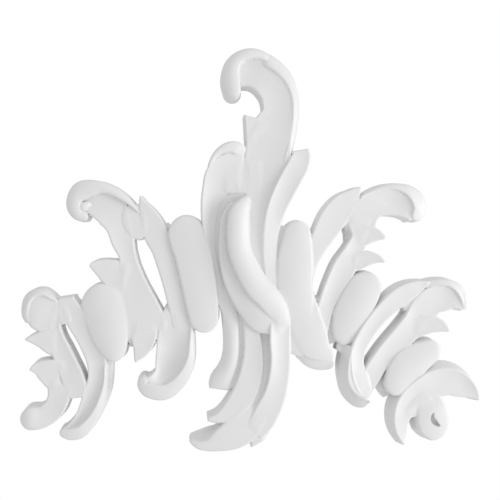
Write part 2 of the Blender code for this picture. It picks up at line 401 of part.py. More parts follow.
def outward(loop):
    """Unit normals of a closed outline, pointing away from its inside."""
    ahead = np.roll(loop, -1, axis=0) - loop
    area = np.sum(loop[:, 0] * np.roll(loop, -1, axis=0)[:, 1] - loop[:, 1] * np.roll(loop, -1, axis=0)[:, 0])
    ahead /= np.linalg.norm(ahead, axis=1)[:, None]
    side = ahead + np.roll(ahead, 1, axis=0)
    side = np.stack([side[:, 1], -side[:, 0]], axis=1) * np.sign(area)
    return side / np.linalg.norm(side, axis=1)[:, None]


def foot_line(left, right, rows, draft, below):
    """Where the drafted walls reach a plane that lies below the back, as a left and a right line."""
    loop = np.vstack([left, right[::-1]])
    fall = np.concatenate([rows[:, 0], rows[::-1, 2]]) + below
    foot = loop + outward(loop) * (fall * draft)[:, None]
    return foot[:len(left)], foot[len(left):][::-1]


def sections_of(left, right, rows, draft):
    """Rings round the leaf, one at each section: foot, edge, points over the face, edge and foot."""
    foot_left, foot_right = foot_line(left, right, rows, draft, BACK_SPARE)
    under = np.full(len(left), -BACK_SPARE)
    low, middle, high = rows.T
    rings = [np.column_stack([foot_left, under])]
    narrow = np.linalg.norm(right - left, axis=1).max() < NARROW_LEAF
    for share in np.linspace(-1.0, 1.0, 3 if narrow else 5):
        place = left + (right - left) * (share + 1.0) / 2.0
        height = middle + (high - low) / 2.0 * share + ((low + high) / 2.0 - middle) * share**2
        rings.append(np.column_stack([place, height]))
    rings.append(np.column_stack([foot_right, under]))
    return np.stack(rings, axis=1)


def white_casting():
    """Cast white hard foam with its factory primer: satin and even."""
    material = bpy.data.materials.new("white_casting")
    material.use_nodes = True
    shader = material.node_tree.nodes["Principled BSDF"]
    shader.inputs["Base Color"].default_value = WHITE_CASTING
    shader.inputs["Roughness"].default_value = CASTING_ROUGHNESS
    shader.inputs["Metallic"].default_value = 0.0
    return material


def collection_named(name):
    """A new collection in the scene."""
    made = bpy.data.collections.new(name)
    bpy.context.scene.collection.children.link(made)
    return made


def solid_of(name, rings, collection):
    """A closed solid lofted through the rings, with a flat cap at each end."""
    count, around = rings.shape[:2]
    solid = bmesh.new()
    points = [[solid.verts.new(place) for place in ring] for ring in rings]
    for here, there in zip(points[:-1], points[1:]):
        for i in range(around):
            j = (i + 1) % around
            solid.faces.new((here[i], here[j], there[j], there[i]))
    solid.faces.new(points[0])
    solid.faces.new(points[-1])
    bmesh.ops.recalc_face_normals(solid, faces=solid.faces)
    bmesh.ops.triangulate(solid, faces=solid.faces)
    mesh = bpy.data.meshes.new(name)
    solid.to_mesh(mesh)
    solid.free()
    made = bpy.data.objects.new(name, mesh)
    collection.objects.link(made)
    return made


def as_cutter(cutter):
    """Show a tool solid as wire only."""
    cutter.hide_render = True
    cutter.display_type = "WIRE"


def cut_with(target, cutter, operation):
    """Add a live Boolean to the target."""
    step = target.modifiers.new(cutter.name, "BOOLEAN")
    step.operation = operation
    step.solver = "EXACT"
    if isinstance(cutter, bpy.types.Collection):
        step.operand_type = "COLLECTION"
        step.collection = cutter
    else:
        step.object = cutter


def build_onlay():
    """Loft every leaf, join them into one casting, plane the back flat and sink the eye of the volute."""
    for draw in (draw_crest, draw_shoulder, draw_centre, draw_left_wing, draw_left_spray, draw_bottom,
                 draw_right_wing, draw_right_spray, draw_tail):
        draw()
    shapes = [(one["name"], edges_of(one), one["draft"]) for one in leaves]
    reach = np.vstack([np.vstack(foot_line(*shape, draft, 0.0)) for _, shape, draft in shapes])
    low, high = reach.min(axis=0), reach.max(axis=0)
    centre = (low + high) / 2.0
    wide, tall = np.array([ONLAY_WIDTH, ONLAY_HEIGHT]) / (high - low)
    drawn = [(name, sections_of(*shape, draft)) for name, shape, draft in shapes]
    deep = ONLAY_DEPTH / max(rings[:, :, 2].max() for _, rings in drawn)

    def placed(rings):
        return np.stack([(rings[..., 0] - centre[0]) * wide, -rings[..., 2] * deep,
                         (centre[1] - rings[..., 1]) * tall], axis=-1)

    casting = collection_named("onlay_casting")
    others = collection_named("leaf_solids")
    tools = collection_named("cutters")
    body = solid_of("onlay", placed(drawn[0][1]), casting)
    for name, rings in drawn[1:]:
        as_cutter(solid_of(name, placed(rings), others))
    body.data.materials.append(white_casting())

    plane_size = 4.0 * ONLAY_WIDTH
    behind = bmesh.new()
    bmesh.ops.create_cube(behind, size=plane_size)
    bmesh.ops.translate(behind, verts=behind.verts, vec=Vector((0.0, plane_size / 2.0, 0.0)))
    mesh = bpy.data.meshes.new("behind_the_back")
    behind.to_mesh(mesh)
    behind.free()
    behind_back = bpy.data.objects.new("behind_the_back", mesh)
    tools.objects.link(behind_back)
    as_cutter(behind_back)

    drill = bmesh.new()
    bmesh.ops.create_cone(drill, cap_ends=True, segments=20, radius1=EYE_DIAMETER / 2.0,
                          radius2=EYE_DIAMETER / 2.0, depth=4.0 * ONLAY_DEPTH)
    mesh = bpy.data.meshes.new("eye_drill")
    drill.to_mesh(mesh)
    drill.free()
    eye_drill = bpy.data.objects.new("eye_drill", mesh)
    eye_drill.rotation_euler = (math.radians(90.0), 0.0, 0.0)
    eye_drill.location = ((EYE_CENTRE[0] - centre[0]) * wide, -EYE_FLOOR * deep - 2.0 * ONLAY_DEPTH,
                          (centre[1] - EYE_CENTRE[1]) * tall)
    tools.objects.link(eye_drill)
    as_cutter(eye_drill)

    cut_with(body, others, "UNION")
    cut_with(body, behind_back, "DIFFERENCE")
    cut_with(body, eye_drill, "DIFFERENCE")


build_onlay()
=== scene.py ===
import math

import bpy
import numpy as np
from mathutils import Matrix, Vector
from mathutils.geometry import delaunay_2d_cdt


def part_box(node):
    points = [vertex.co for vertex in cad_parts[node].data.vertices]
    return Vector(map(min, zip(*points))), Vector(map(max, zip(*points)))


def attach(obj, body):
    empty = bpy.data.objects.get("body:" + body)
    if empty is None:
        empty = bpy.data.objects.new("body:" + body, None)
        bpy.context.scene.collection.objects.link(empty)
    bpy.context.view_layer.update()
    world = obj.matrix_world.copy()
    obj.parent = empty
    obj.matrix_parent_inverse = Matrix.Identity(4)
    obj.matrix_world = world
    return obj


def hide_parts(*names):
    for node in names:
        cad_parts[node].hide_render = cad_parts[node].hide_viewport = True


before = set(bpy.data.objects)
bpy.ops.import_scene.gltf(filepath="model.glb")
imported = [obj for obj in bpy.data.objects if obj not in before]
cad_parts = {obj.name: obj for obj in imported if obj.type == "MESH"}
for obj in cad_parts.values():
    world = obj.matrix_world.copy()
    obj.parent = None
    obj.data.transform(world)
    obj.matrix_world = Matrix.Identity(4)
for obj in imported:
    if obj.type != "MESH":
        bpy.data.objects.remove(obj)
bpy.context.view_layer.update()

# The onlay, one white casting. It is carved as overlapping leaves, drawn on a sheet of squares with x to the
# right and y down. Each leaf is a ribbon along its own spine: a station there is (x, y, width, left, middle,
# right), the last three being heights off the flat back, in squares, seen from root to tip.

DRAFT = 2.5
BROAD_DRAFT = 9.0
SINK_REACH = 14.0
SINK_DEPTH = 9.0
THINNEST = 0.5
TIGHTEST_BEND = 0.85
CROWDING = 0.75
SECTIONS = 61
STRAIGHT = 1e-6

leaves = []


def smooth_through(stations, count):
    """Stations on the Catmull-Rom curve through the drawn ones: cubic Hermite pieces on chord length, whose
    slopes weigh the two chords that meet, read at steps that crowd towards both ends by a sine."""
    knots = np.concatenate([[0.0], np.cumsum(np.linalg.norm(np.diff(stations[:, :2], axis=0), axis=1))])
    gaps = np.diff(knots)[:, None]
    slopes = np.diff(stations, axis=0) / gaps
    turns = np.empty_like(stations)
    turns[1:-1] = (slopes[:-1] * gaps[1:] + slopes[1:] * gaps[:-1]) / (gaps[:-1] + gaps[1:])
    turns[0] = 1.5 * slopes[0] - 0.5 * turns[1]
    turns[-1] = 1.5 * slopes[-1] - 0.5 * turns[-2]
    share = np.linspace(0.0, 1.0, count)
    share = share - CROWDING * np.sin(2.0 * math.pi * share) / (2.0 * math.pi)
    along = share * knots[-1]
    i = np.clip(np.searchsorted(knots, along, side="right") - 1, 0, len(knots) - 2)
    step = gaps[i]
    x = ((along - knots[i]) / gaps[i, 0])[:, None]
    return ((2 * x**3 - 3 * x**2 + 1) * stations[i] + (x**3 - 2 * x**2 + x) * step * turns[i]
            + (3 * x**2 - 2 * x**3) * stations[i + 1] + (x**3 - x**2) * step * turns[i + 1])


def quarter_round(reach, radius):
    """Share of the full width at a reach from a round end: the root of 1 - (1 - reach / radius) squared."""
    return np.sqrt(np.clip(1.0 - (1.0 - np.clip(reach / radius, 0.0, 1.0)) ** 2, 0.0, 1.0))


def sunk(reach):
    """How far a root dives under the leaf it grows from: a parabola that ends SINK_REACH along the leaf."""
    return SINK_DEPTH * np.clip(1.0 - reach / SINK_REACH, 0.0, 1.0) ** 2


def leaf(name, stations, ends="cut cut", draft=DRAFT):
    """Lay out one leaf: its spine, its rows of heights and reaches, and its closed outline.

    Each edge lies half the width off the spine and never past its bend. A root or tip is round, cut square
    or sunk.
    """
    root, tip = ends.split()
    cut = smooth_through(np.array(stations, float), SECTIONS)
    spine = cut[:, :2]
    run = np.concatenate([[0.0], np.cumsum(np.linalg.norm(np.diff(spine, axis=0), axis=1))])
    way = np.gradient(spine, run, axis=0)
    way /= np.linalg.norm(way, axis=1)[:, None]
    bend = np.gradient(np.unwrap(np.arctan2(way[:, 1], way[:, 0])), run)
    half = np.maximum(cut[:, 2], THINNEST) / 2.0
    rows = cut[:, 3:6].copy()
    for end, reach, first in ((root, run, 0), (tip, run[-1] - run, -1)):
        if end == "round":
            share = quarter_round(reach, half[first])
            rows[:, 1] += (share - 1.0) * (rows[:, 1] - (rows[:, 0] + rows[:, 2]) / 2.0)
            half = half * share
        if end == "sunk":
            rows -= sunk(reach)[:, None]
    half = np.maximum(half, THINNEST / 2.0)
    across = np.stack([way[:, 1], -way[:, 0]], axis=1)
    left = np.minimum(half, TIGHTEST_BEND / np.maximum(-bend, STRAIGHT))[:, None]
    right = np.minimum(half, TIGHTEST_BEND / np.maximum(bend, STRAIGHT))[:, None]
    leaves.append({"name": name, "spine": spine, "rows": np.hstack([rows, left, right]),
                   "outline": np.vstack([spine + across * left, (spine - across * right)[::-1]]),
                   "draft": math.tan(math.radians(draft))})


# The crest: a broad dished stem that curls over to the left at its top.

leaf("crest_stem", [(262, 290, 14, 23, 23, 23), (257, 255, 18, 22, 22.5, 23),
                    (256, 225, 20, 21, 21.5, 23), (258, 203, 26, 21, 21.5, 23.5),
                    (262, 186, 36, 21.5, 21.5, 24), (266.5, 170, 46, 22, 22, 25),
                    (268.7, 152, 46, 22, 22, 25), (270, 138, 45, 22.5, 22.5, 25),
                    (274, 126, 39, 23, 22.5, 25), (279, 114, 33, 23, 22.5, 25),
                    (279.3, 103, 33.5, 23, 22.5, 25), (276, 91.5, 33, 23, 22.5, 25),
                    (269.5, 82.5, 32.5, 23, 22.5, 24.5), (260.5, 75.5, 31, 22.5, 22, 24),
                    (251, 72.7, 29.5, 22, 21, 23), (238, 74, 26, 21, 20, 22)], "sunk cut")
leaf("crest_lip", [(284, 168, 3, 24, 24, 22), (289, 154, 6.5, 25, 24, 21.5),
                   (292.8, 140, 7, 25, 24, 21), (295.2, 126, 7.5, 25, 24, 20),
                   (296.2, 113, 8, 25, 24, 20), (295.9, 101, 8.5, 25, 24, 20),
                   (293.3, 90, 9.5, 25, 24, 20), (288.3, 79, 11.5, 25, 24, 20),
                   (280.5, 70, 13, 25, 24.5, 20), (271, 63, 13.5, 25, 25, 21),
                   (258, 57, 13, 24, 24, 22)], "round sunk")
leaf("crest_curl", [(277, 65, 8, 24.5, 24, 21), (268, 59.3, 9, 25, 25, 21.5),
                    (259, 55.4, 10, 26, 26, 23), (250, 55, 11, 27, 27, 24),
                    (241.5, 57.7, 12.5, 27, 27.5, 24), (234.5, 63.7, 15, 27, 28, 24),
                    (230.8, 72, 17.5, 27, 28, 24), (230.6, 81, 18.5, 27, 28, 24),
                    (232, 89, 17.5, 27, 28, 24), (234.5, 99.5, 15, 26, 27, 24)], "sunk round")
leaf("crest_spur", [(266.4, 141.5, 44, 22, 22, 22), (257.4, 130.8, 30, 22.5, 22.5, 22.5),
                    (250.9, 123.2, 15, 23, 23, 23), (247.1, 118.6, 6, 23.5, 23.5, 23.5),
                    (244.5, 115.5, 0.5, 24, 24, 24)], "sunk cut")

# The shoulder: a dished blade left of the middle, and the deep groove beside it.

leaf("shoulder", [(228.5, 305, 7, 20, 20, 20), (221, 290, 9, 22, 21, 20),
                  (215.5, 270, 9.5, 24, 22, 20.5), (212, 250, 8.5, 25.5, 22.5, 20.5),
                  (209.5, 230, 13, 26, 22.5, 20.5), (210.5, 206, 19, 26.5, 22.5, 21),
                  (215, 190, 26, 26.5, 22.5, 21.5), (221.5, 179.5, 37, 26.5, 22.5, 22),
                  (230, 174, 41, 25, 22.5, 22), (243, 173.5, 40, 22, 22, 22)], "cut cut")
leaf("shoulder_bridge", [(213, 176.5, 30, 22, 22, 22), (228, 176.5, 35, 22, 22, 22),
                         (244, 176, 36, 21.8, 21.8, 21.8), (258, 175.5, 36, 21.7, 21.7, 21.7),
                         (272, 175, 30, 21.7, 21.7, 21.7)], "sunk sunk")
leaf("shoulder_curl", [(208.5, 170, 2, 26, 26, 26), (212.5, 160, 5, 27, 27.5, 26),
                       (220.5, 151.5, 8, 27, 28, 26), (230.5, 148, 11.5, 26, 27.5, 26),
                       (238, 149.5, 13, 25, 26, 25), (244, 155, 10, 22, 22, 22)], "round round")
leaf("groove_floor", [(256, 203, 16, 20.5, 20.5, 20.5), (243, 203, 22, 20.5, 20, 20.5),
                      (232, 208, 28, 20.5, 20, 20.5), (224, 220, 25, 20.5, 19.5, 20.5),
                      (221, 240, 19, 20.5, 19.5, 20.5), (222, 262, 16, 20.5, 19.5, 20.5),
                      (229, 285, 18, 20.5, 19.5, 20.5), (243, 308, 22, 20.5, 20, 20.5),
                      (262, 326, 20, 20.5, 20, 20.5)])

# The middle: the round roll, the prong on its right and a plain lobe on each side.

leaf("centre_web", [(296, 350, 30, 22, 22, 22), (288, 315, 50, 23, 23, 23),
                    (284, 285, 44, 23, 23, 23), (281, 262, 38, 22, 22, 22),
                    (281, 243, 26, 20.5, 20.5, 20.5), (284, 226, 10, 19.5, 19.5, 19.5)])
leaf("roll_strand", [(234, 203, 5, 26, 26, 26), (227.2, 215, 9, 26, 27, 28.5),
                     (225, 235, 11, 26, 27.5, 29.5), (225.5, 255, 12, 27, 28, 30),
                     (230, 275, 15, 29.5, 29.5, 30), (239, 293, 19, 32, 31, 29.5),
                     (250, 307, 24, 33.5, 32, 28.5), (262, 317, 29, 33, 31.5, 28),
                     (276, 321, 25, 32, 30.5, 27.5), (292, 322, 14, 28, 28, 27)], "round sunk")
leaf("centre_roll", [(283, 333, 15, 26, 28, 26), (280.5, 318, 19, 30, 31.5, 28.5),
                     (276, 307, 22.5, 33.5, 34, 30.5), (268.5, 297, 24.5, 35.5, 36, 31.5),
                     (257.5, 285.5, 25, 36.5, 37.5, 32.5), (247, 268, 24, 36.5, 38, 32.5),
                     (240, 250, 23, 36.5, 38, 32.5), (238.3, 230, 22.5, 35.5, 37.5, 32),
                     (240, 213, 20, 34.5, 36, 31.5), (245, 203, 13, 32, 33, 30),
                     (248.5, 197, 6, 29, 30, 28)], "sunk round")
leaf("prong", [(278, 302, 14, 23, 23, 22.5), (273, 278, 15, 24, 23.5, 22.5),
               (270.5, 252, 15.5, 25.5, 24, 22.3), (272, 229, 17, 26.5, 24.3, 22.3),
               (277, 209, 19.5, 27.3, 24.5, 24.3), (284.5, 192, 21.5, 27.3, 24.5, 25.3),
               (293, 176, 22, 27, 25, 25.8), (299, 165, 21.5, 26.5, 25, 25.5),
               (301.5, 157, 19.5, 26, 24.5, 25), (301, 150.5, 16.5, 25, 24.5, 25)], "sunk cut")
leaf("left_lobe", [(206, 332, 26, 24, 25, 24), (203, 312, 31, 24.5, 26, 24.5),
                   (199, 285, 35, 24.5, 26, 24.5), (193, 255, 37, 24.5, 26, 24.5),
                   (186, 232, 37, 24, 25.5, 24), (182.5, 215.5, 29, 23.5, 25, 23.5)], "round round")
leaf("right_lobe", [(306, 355, 26, 23, 24, 23), (300, 335, 34, 23.5, 25, 23.5),
                    (297.5, 310, 36, 24, 26, 24), (295.5, 285, 36, 24, 26.5, 24),
                    (296, 258, 35, 24, 26, 24), (298, 238, 29, 24, 26, 24),
                    (299.5, 220.5, 21, 23.5, 25, 23.5)], "round round")

# The left wing: two blades with a slot between, a rolled tip, leaflets and a tendril.

leaf("wing_floor", [(163, 224, 8, 18, 18, 18), (172, 245, 16, 19, 19, 19), (180, 275, 18, 20, 20, 20),
                    (188, 310, 18, 20, 20, 20), (192, 326, 8, 19, 19, 19)], "sunk sunk")
leaf("left_blade", [(150, 342, 44, 21.5, 21.5, 21.5), (145, 325, 43, 21.5, 21.5, 21.5),
                    (139, 308, 38, 21.5, 21.5, 21.5), (133, 290, 31, 21.5, 21, 21.5),
                    (129, 272, 23, 21.5, 21, 21.3), (126.5, 256, 17.5, 22.5, 21, 21.3),
                    (122, 242, 23, 23, 21, 21.2), (118.7, 225.2, 29, 23.5, 21, 21.2),
                    (109.8, 211.3, 34, 23.5, 21, 21.2), (98, 205.5, 28, 23, 21, 21),
                    (88, 203, 22, 22, 20.5, 21), (78, 203, 18, 20, 19, 20)], "sunk cut")
leaf("left_rib", [(184, 336, 20, 21, 21, 20), (180.5, 318, 20, 21.5, 21, 20),
                  (176.5, 300, 20.5, 21.5, 21, 20), (171.5, 280, 21, 21.5, 21, 20),
                  (166, 262, 21.5, 21.5, 21, 20), (161.5, 248, 22.5, 21.3, 21.2, 20.5),
                  (156, 236, 25, 21.2, 21.2, 21.2), (150.5, 224, 23.5, 21.2, 21.2, 22),
                  (146, 213, 17, 21.5, 22, 22.5), (142, 204, 8, 22.5, 22.5, 23),
                  (139.5, 196.5, 1.5, 23, 23, 23)], "sunk cut")
leaf("left_web", [(139, 239.5, 14, 21.1, 21.1, 21.1), (137, 231, 22, 21.2, 21.2, 21.2),
                  (134.5, 220, 28, 21.2, 21.2, 21.2), (132, 205, 18, 21.2, 21.2, 21.2)], "round cut")
leaf("left_curl", [(138, 212.5, 1, 23.5, 23, 23), (130.5, 204, 5, 24.5, 24, 23),
                   (121, 196.5, 8, 25, 25, 23), (110.5, 190.5, 9.5, 25.5, 25.5, 23),
                   (100, 187.6, 12, 25.5, 26, 23.5), (90, 188.2, 16.5, 25.5, 26.5, 23.5),
                   (79.5, 191.5, 19, 25.5, 26.5, 23.5), (73.5, 199, 16, 25.5, 26.5, 23.5),
                   (73, 208, 14.5, 25.5, 26.5, 23.5), (77, 214.5, 12, 25, 26, 23.5),
                   (87, 216.5, 7, 24, 24.5, 23.5)], "cut round")
leaf("left_curl_eye", [(89, 203, 4, 23, 23, 23), (84, 206, 8, 24.5, 25.5, 24.5),
                       (79, 209, 9, 24.5, 26, 25)], "round round")
leaf("left_leaflet", [(135, 281, 30, 21, 21, 21), (125, 278, 32, 21.5, 21.5, 21.5),
                      (115, 274.5, 30, 21.5, 21.5, 21.5), (107, 271, 25.5, 22, 22, 22.5),
                      (100, 267.7, 18.5, 22.5, 22.5, 23), (94, 266, 12, 23, 23, 23.5),
                      (90, 265.8, 5.5, 23.5, 23.5, 24), (88.5, 266, 1, 24, 24, 24)], "sunk cut")
leaf("left_big_lobe", [(112, 361.5, 16, 22, 23, 22), (112, 350, 27, 22, 24.5, 21.4),
                       (109, 335, 38, 21.5, 24.8, 21.4), (105, 318, 43, 21, 24.8, 21.4),
                       (100.5, 302, 43, 21, 24.3, 21.5), (95, 284, 36, 21.5, 24, 22)], "round round")
leaf("left_toe", [(146, 312, 20, 21, 21, 21), (143.5, 328, 27, 21.5, 21.5, 21.5),
                  (141.5, 345, 21, 22, 21.5, 22), (139, 352, 14, 22, 22, 22),
                  (136, 358, 6.5, 22, 22, 22), (134.5, 362, 1, 22, 22, 22)], "sunk cut")
leaf("left_tendril", [(179, 303, 22, 21, 21, 21), (175.5, 320, 32, 21, 21, 21.5),
                      (173.5, 337, 34, 22, 19.5, 21.5), (172, 352, 33, 23, 18, 22),
                      (167.5, 366, 29, 23, 17.5, 21), (159, 376, 17, 23, 20, 21.5),
                      (150, 378.5, 8, 24, 23.5, 24), (144, 378, 3, 24, 24, 24)], "sunk cut")
leaf("left_tendril_lip", [(191.5, 322, 3, 22, 22.5, 23), (191.5, 342, 5.5, 21, 22.5, 24),
                          (190.5, 358, 8, 21, 23, 24.5), (185, 373, 11.5, 21, 23.5, 25),
                          (175.5, 384.5, 14, 21.5, 24, 25), (165, 391, 16, 22, 24.5, 25),
                          (154, 391, 16, 22.5, 25, 25.5), (146, 387.5, 15, 23, 25, 25.5),
                          (142.5, 381.5, 12, 23, 25, 25), (145.5, 375.5, 6, 23.5, 24, 24)],
     "cut round")

# The left end: a smaller pierced spray of a rib, a blade and four tips.

leaf("left_end_rib", [(64, 297, 16, 21, 21, 21), (65, 302, 18, 21, 21, 21),
                      (69, 310, 21, 21, 20.5, 20.5), (75, 320.5, 21.5, 21.5, 20, 20.5),
                      (83.5, 334, 21.5, 22, 20, 20.5), (90.3, 347, 21.5, 22, 20, 21),
                      (95, 361, 20, 22, 20, 21.5), (96, 377, 19, 21.5, 19.5, 21.5),
                      (92.5, 394, 22, 21, 19, 21), (86.5, 409, 19.5, 22, 18.5, 21),
                      (78, 420.5, 14, 22.5, 18.5, 21), (67, 428.5, 8, 22, 20.5, 21),
                      (60, 430.5, 3, 22, 22, 22)])
leaf("left_end_rib_lip", [(104, 366, 2, 21, 22, 23), (104, 382, 3.5, 20, 22, 23.5),
                          (101, 397, 6, 20, 22, 24), (95.7, 411, 8.5, 20, 22.5, 24),
                          (88, 422.8, 10.5, 20.5, 22.5, 24.5), (79, 431.2, 13, 21, 23, 24.5),
                          (68.5, 433.5, 12, 21.5, 23, 24), (58, 430.5, 7, 22, 22.5, 23)],
     "cut round")
leaf("left_end_behind", [(104, 351, 13, 14, 14, 14), (104.5, 372, 12, 12, 12, 12),
                         (103.5, 391, 10, 10, 10, 10), (100, 409, 4, 8, 8, 8)])
leaf("left_end_web", [(59, 302, 11, 20.8, 20.8, 20.8), (62, 313, 14, 20.8, 20.8, 20.8),
                      (64.5, 323.5, 11, 20.8, 20.8, 20.8)])
leaf("left_end_blade", [(57, 300, 10, 21, 21, 21), (53, 313, 15, 21, 20.5, 21),
                        (51, 327, 16, 21, 20, 21), (53.5, 340, 19, 21, 20, 21),
                        (59.5, 352, 20, 21, 20, 21), (65, 364, 21, 21, 20, 21),
                        (70, 376, 23, 21, 20.5, 20.5), (74, 388, 22, 21, 20.5, 20.5),
                        (75.5, 397.5, 15, 21, 20.5, 21)])
leaf("left_end_lobe", [(57, 319.5, 32, 20, 20, 20), (49, 316.5, 36, 21, 21.1, 21),
                       (37, 311.5, 36, 22, 23, 22), (23, 308, 27, 22, 23.5, 22)], "cut round")
leaf("left_end_lobe_lip", [(55.5, 301.5, 2, 22, 22, 22), (49, 296.5, 4.5, 24, 23.5, 21.5),
                           (41, 292.2, 6.5, 24.5, 24, 21), (33, 292.7, 8, 25, 24, 20.5),
                           (26.3, 298.3, 9, 25, 24, 20.5), (23.4, 307, 8.5, 24.5, 23.5, 20.5),
                           (23.5, 315.5, 7.5, 23.5, 23, 21), (27, 322.5, 5, 22.5, 22.5, 21.5)],
     "cut round")
leaf("left_end_tooth", [(57, 342, 30, 19.6, 19.6, 19.6), (47.5, 340.4, 26, 21, 21, 21),
                        (38, 339, 16.5, 21.5, 21.5, 22), (31, 338.7, 9.5, 22, 22, 22.5),
                        (23.5, 339, 1.5, 23, 23, 23)])
leaf("left_end_leaflet", [(68, 380, 30, 20, 20, 20), (53, 374.5, 31, 20.5, 20.5, 21),
                          (42, 369.8, 22, 21.5, 21.5, 22.5), (35, 368, 13.5, 22, 22, 23),
                          (28, 369.3, 1.5, 23, 23, 23.5)], "sunk cut")
leaf("left_end_tendril", [(64, 374, 24, 20, 20, 20), (58, 388, 25, 20.5, 20.5, 20.5),
                          (56.5, 397, 22, 21, 20.5, 21), (53, 406, 21.5, 21.5, 20.5, 21),
                          (47, 412.5, 21.5, 21.5, 21, 21), (39, 416.8, 22, 22, 22, 21),
                          (29, 418, 23, 22, 24, 21.5), (17.8, 418, 19, 21, 22.5, 21)], "sunk round")

# The hanging leaf: a blade and a rib with a groove between, and a thin tendril.

leaf("bottom_tendril", [(218.5, 278, 12, 20, 20, 20), (223, 296, 16, 20.5, 21, 20.5),
                        (229.5, 311, 16.5, 21, 22.5, 20), (231.5, 325, 17, 21, 23.5, 20),
                        (232.3, 340, 16.5, 21, 24, 20), (232, 352, 16.5, 21, 24, 20),
                        (229.5, 365, 17, 20.5, 23.5, 20), (225, 375, 18.5, 20, 22.5, 20),
                        (221.3, 382, 21.5, 20, 22, 19.5), (220, 389, 22, 20, 21, 19.5)], "sunk cut")
leaf("tendril_valley", [(243, 315, 10, 20.5, 20.5, 20.5), (243.5, 340, 10, 20.5, 20.5, 20.5),
                        (242, 357, 11, 20, 20, 20), (238.5, 374, 12, 19.5, 19.5, 19.5),
                        (233.5, 390, 10, 19.5, 19.5, 19.5)])
leaf("bottom_blade", [(250, 316, 14, 25, 25, 25), (252.3, 335, 17, 25, 25, 25),
                      (253.5, 350, 19, 25, 24.5, 25), (252.7, 365, 22, 24.5, 24, 24.5),
                      (249.5, 380, 24, 24, 24, 24), (244, 393, 24, 24, 24, 24),
                      (236.5, 404, 22, 24, 24, 24), (227, 412.5, 17, 24, 24, 24),
                      (217, 417, 10, 24, 24, 24), (207.5, 418, 4, 24, 24, 24)])
leaf("bottom_hook", [(262, 402, 30, 23, 23, 23), (247, 422, 34, 24, 24, 24),
                     (234.3, 432.3, 31, 24, 24.5, 24), (221, 439, 23, 23.5, 24.5, 24),
                     (208, 444, 12.5, 23, 24, 24), (197, 443.5, 7.5, 23, 23.5, 23.5),
                     (189.5, 440, 2, 22, 22.5, 23)], "sunk cut")
leaf("bottom_hook_side", [(218, 430.5, 3.5, 23, 18, 12), (211, 433.5, 6.5, 23, 17, 11),
                          (201, 437, 6.5, 22.5, 17, 11), (190.5, 440, 4, 22, 18, 14)])
leaf("bottom_thorn", [(259, 424, 26, 23, 23, 23), (257.3, 434, 19, 23.6, 23.6, 23.6),
                      (253.5, 442.5, 6, 23.3, 23.3, 23.3), (251.5, 446, 1, 23, 23, 23)], "sunk cut")
leaf("bottom_rib", [(282, 308, 16, 26, 27, 29), (280.8, 322, 21, 26, 27.2, 31.5),
                    (280.3, 338, 21, 25.8, 26.8, 31), (280.8, 358, 20, 25.5, 26.2, 30),
                    (279.3, 376, 20.5, 25, 25.6, 28.7), (275.7, 392, 22, 24.5, 24.9, 27.2),
                    (269.5, 407, 24.5, 24, 24.4, 25.8), (261.5, 421, 24.5, 24, 24, 24.5),
                    (253.5, 432, 20, 24, 24, 24)], "sunk cut")
leaf("bottom_groove_floor", [(266, 325, 22, 20.5, 20, 20.5), (268, 350, 19, 21.5, 21, 21.5),
                             (267, 372, 18, 22, 21.5, 22), (262, 390, 18, 22.5, 22, 22.5),
                             (254, 405, 15, 23, 22.5, 23), (248, 414, 9, 23, 23, 23)])

# The right wing: rib and blade with a slot between, a rolled tip and leaflets.

leaf("right_floor", [(315, 231, 5, 18, 18, 18), (312, 242, 11, 19, 19, 19),
                     (309, 262, 10, 20, 20, 20), (308, 285, 9, 20, 20, 20), (307, 303, 8, 20, 20, 20)],
     "sunk cut")
leaf("right_web", [(318, 298, 12, 20, 20, 20), (325.5, 314, 19, 20, 20, 20),
                   (330.5, 329, 20, 18, 18, 18), (335, 343.5, 14, 16, 16, 16)], "cut cut")
leaf("right_rib", [(305, 305, 10, 22, 22.5, 22), (307.5, 282, 12, 22, 22.5, 22),
                   (311, 265, 14, 22.5, 22.5, 22), (316.5, 250, 18, 23, 22.5, 22),
                   (325, 234, 23, 24, 22.5, 22), (335.5, 217, 27, 24, 22.5, 22),
                   (345.5, 204.5, 24, 24, 22.5, 22), (353.5, 197, 17, 24, 23, 22),
                   (359, 190.7, 8, 24, 23.5, 23), (362, 187.5, 1.5, 24, 24, 24)])
leaf("right_foot", [(301, 285, 24, 22, 22, 22), (303, 312, 34, 24, 25, 24),
                    (309.5, 334, 37, 24, 26, 24), (319, 347, 29, 23.5, 25, 24),
                    (327, 353, 17, 23, 24, 23.5), (334, 356.5, 7, 23, 23, 23)], "sunk round")
leaf("right_foot_lip", [(290.5, 341, 3, 23.5, 22, 20), (300, 354, 7, 23.5, 21.5, 19),
                        (311, 361.8, 11, 23, 21.5, 19), (322, 364.3, 11.5, 23, 21.5, 19),
                        (335, 362.5, 10, 23, 22, 20)], "cut round")
leaf("right_blade", [(322, 346, 12, 21, 21, 21), (323.5, 320, 16, 22.5, 21.5, 21.5),
                     (329.5, 300, 18, 23.5, 21, 21.5), (337.5, 282, 21, 24, 21, 21.5),
                     (346.5, 266, 24, 24, 21.5, 21.5), (355.5, 250.5, 20, 24, 21.5, 21.5),
                     (361.5, 237, 18, 22, 21.5, 21.5), (362, 220, 26, 21.5, 21.5, 21.5),
                     (368, 207, 20, 21.5, 21.5, 21.5)], "cut sunk")
leaf("right_tip", [(359, 236, 22, 21.5, 21.5, 21.5), (362, 222, 32, 22, 21.5, 22),
                   (369, 210, 29, 22.5, 21.5, 22), (380, 203, 27, 23.5, 21, 22),
                   (393, 202.3, 26, 23.5, 20.5, 22), (404, 206.5, 22.5, 23, 21, 22),
                   (411.5, 213.5, 15, 23, 22, 22.5), (415, 219.5, 9, 22.5, 22.5, 22.5)], "sunk cut")
